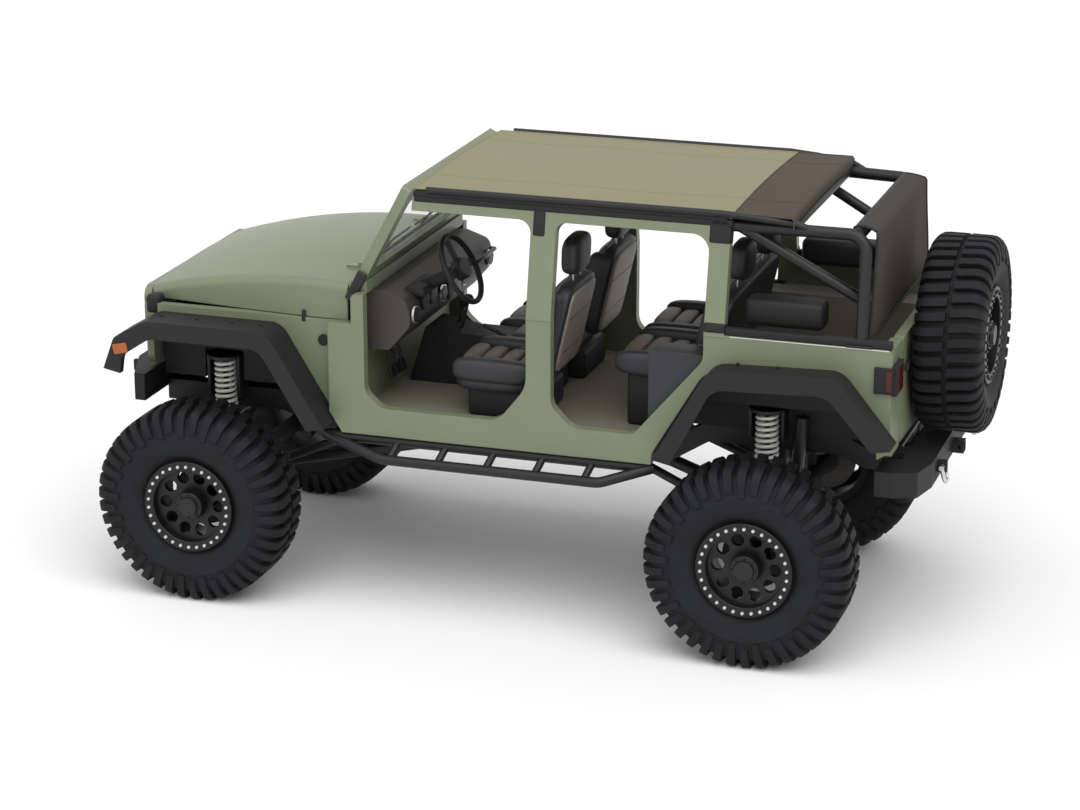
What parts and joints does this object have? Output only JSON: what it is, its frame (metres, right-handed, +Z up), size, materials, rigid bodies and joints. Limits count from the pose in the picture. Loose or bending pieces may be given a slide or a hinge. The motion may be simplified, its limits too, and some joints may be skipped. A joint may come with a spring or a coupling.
{
  "type": "off-road vehicle",
  "caption": "Lifted open off-road vehicle with doors off, fabric top, rear roll cage, beadlock wheels on solid axles, steering, opening hood and a swing gate with spare wheel.",
  "frame": {"origin": "on the ground, at the middle of the vehicle's length and width", "axes": "+X forward, +Y to the vehicle's left, +Z up"},
  "size_m": [4.624, 2.098, 2.2813],
  "materials": {
    "sage_paint": "satin",
    "black_steel": "satin",
    "silver_steel": "satin",
    "dark_casting": "matte",
    "brake_iron": "matte",
    "wheel_black": "satin",
    "tyre_rubber": "matte",
    "black_plastic": "matte",
    "brown_plastic": "matte",
    "seat_leather": "matte",
    "top_fabric": "matte",
    "dark_fabric": "matte",
    "red_lens": "gloss",
    "lamp_glass": "gloss",
    "clear_glass": "gloss"
  },
  "bodies": {
    "chassis": {"chassis_frame": "black_steel", "front_axle": "black_steel", "rear_axle": "black_steel", "coil_springs": "silver_steel", "suspension_links": "black_steel", "engine_block": "dark_casting", "gearbox": "dark_casting", "drive_shafts": "black_steel", "steering_box": "dark_casting", "body_side_left": "sage_paint", "body_side_right": "sage_paint", "floor_pan": "sage_paint", "firewall": "sage_paint", "windshield_frame": "sage_paint", "windshield_glass": "clear_glass", "grille": "sage_paint", "headlamps": "lamp_glass", "fenders": "sage_paint", "inner_fenders": "black_plastic", "front_flares": "black_plastic", "rear_flares": "black_plastic", "front_bumper": "black_plastic", "rear_bumper": "black_plastic", "shackles": "silver_steel", "rock_sliders": "black_steel", "tail_lamps": "red_lens", "roof_rails": "black_plastic", "roll_cage": "black_steel", "soft_top": "top_fabric", "rear_curtain": "dark_fabric", "dashboard": "brown_plastic", "console": "black_plastic", "front_seats": "seat_leather", "rear_bench": "seat_leather", "steering_column": "black_plastic", "gate_hinges": "black_steel"},
    "knuckle_left": {"knuckle_left": "dark_casting"},
    "knuckle_right": {"knuckle_right": "dark_casting"},
    "tie_rod": {"tie_rod": "black_steel"},
    "pitman_arm": {"pitman_arm": "black_steel"},
    "drag_link": {"drag_link": "black_steel"},
    "steering_wheel": {"steering_wheel": "black_plastic"},
    "hood": {"hood": "sage_paint"},
    "tailgate": {"tailgate": "sage_paint", "spare_tyre": "tyre_rubber", "spare_rim": "wheel_black"},
    "wheel_front_left": {"tyre_front_left": "tyre_rubber", "rim_front_left": "wheel_black", "hub_front_left": "brake_iron"},
    "wheel_front_right": {"tyre_front_right": "tyre_rubber", "rim_front_right": "wheel_black", "hub_front_right": "brake_iron"},
    "wheel_rear_left": {"tyre_rear_left": "tyre_rubber", "rim_rear_left": "wheel_black", "hub_rear_left": "brake_iron"},
    "wheel_rear_right": {"tyre_rear_right": "tyre_rubber", "rim_rear_right": "wheel_black", "hub_rear_right": "brake_iron"}
  },
  "joints": [
    {"name": "steer_left", "type": "hinge", "parent": "chassis", "child": "knuckle_left", "pos_m": [1.736, 0.655, 0.53], "axis": [0, 0, 1], "range_deg": [-28, 28]},
    {"name": "steer_right", "type": "hinge", "parent": "chassis", "child": "knuckle_right", "pos_m": [1.736, -0.655, 0.53], "axis": [0, 0, 1], "range_deg": [-28, 28]},
    {"name": "tie_rod_pivot", "type": "hinge", "parent": "knuckle_left", "child": "tie_rod", "pos_m": [1.926, 0.655, 0.65], "axis": [0, 0, 1], "range_deg": [-28, 28]},
    {"name": "pitman_turn", "type": "hinge", "parent": "chassis", "child": "pitman_arm", "pos_m": [1.896, 0.4, 0.755], "axis": [0, 0, 1], "range_deg": [-28, 28]},
    {"name": "drag_link_pivot", "type": "hinge", "parent": "pitman_arm", "child": "drag_link", "pos_m": [2.086, 0.4, 0.715], "axis": [0, 0, 1], "range_deg": [-28, 28]},
    {"name": "steering_wheel_turn", "type": "hinge", "parent": "chassis", "child": "steering_wheel", "pos_m": [0.43, 0.38, 1.77011], "axis": [-0.8829, 0, 0.4695], "range_deg": [-420, 420]},
    {"name": "hood_hinge", "type": "hinge", "parent": "chassis", "child": "hood", "pos_m": [0.924, 0, 1.786], "axis": [0, -1, 0], "range_deg": [0, 60]},
    {"name": "tailgate_hinge", "type": "hinge", "parent": "chassis", "child": "tailgate", "pos_m": [-1.96, -0.578, 1.4], "axis": [0, 0, 1], "range_deg": [0, 90]},
    {"name": "roll_front_left", "type": "hinge", "parent": "knuckle_left", "child": "wheel_front_left", "pos_m": [1.736, 0.87, 0.53], "axis": [0, 1, 0], "continuous": true},
    {"name": "roll_front_right", "type": "hinge", "parent": "knuckle_right", "child": "wheel_front_right", "pos_m": [1.736, -0.87, 0.53], "axis": [0, 1, 0], "continuous": true},
    {"name": "roll_rear_left", "type": "hinge", "parent": "chassis", "child": "wheel_rear_left", "pos_m": [-1.272, 0.87, 0.53], "axis": [0, 1, 0], "continuous": true},
    {"name": "roll_rear_right", "type": "hinge", "parent": "chassis", "child": "wheel_rear_right", "pos_m": [-1.272, -0.87, 0.53], "axis": [0, 1, 0], "continuous": true}
  ],
  "couplings": [
    {"joint": "steer_right", "follows": "steer_left", "ratio": 1},
    {"joint": "tie_rod_pivot", "follows": "steer_left", "ratio": -1},
    {"joint": "pitman_turn", "follows": "steer_left", "ratio": 1},
    {"joint": "drag_link_pivot", "follows": "steer_left", "ratio": -1},
    {"joint": "steering_wheel_turn", "follows": "steer_left", "ratio": 15}
  ]
}
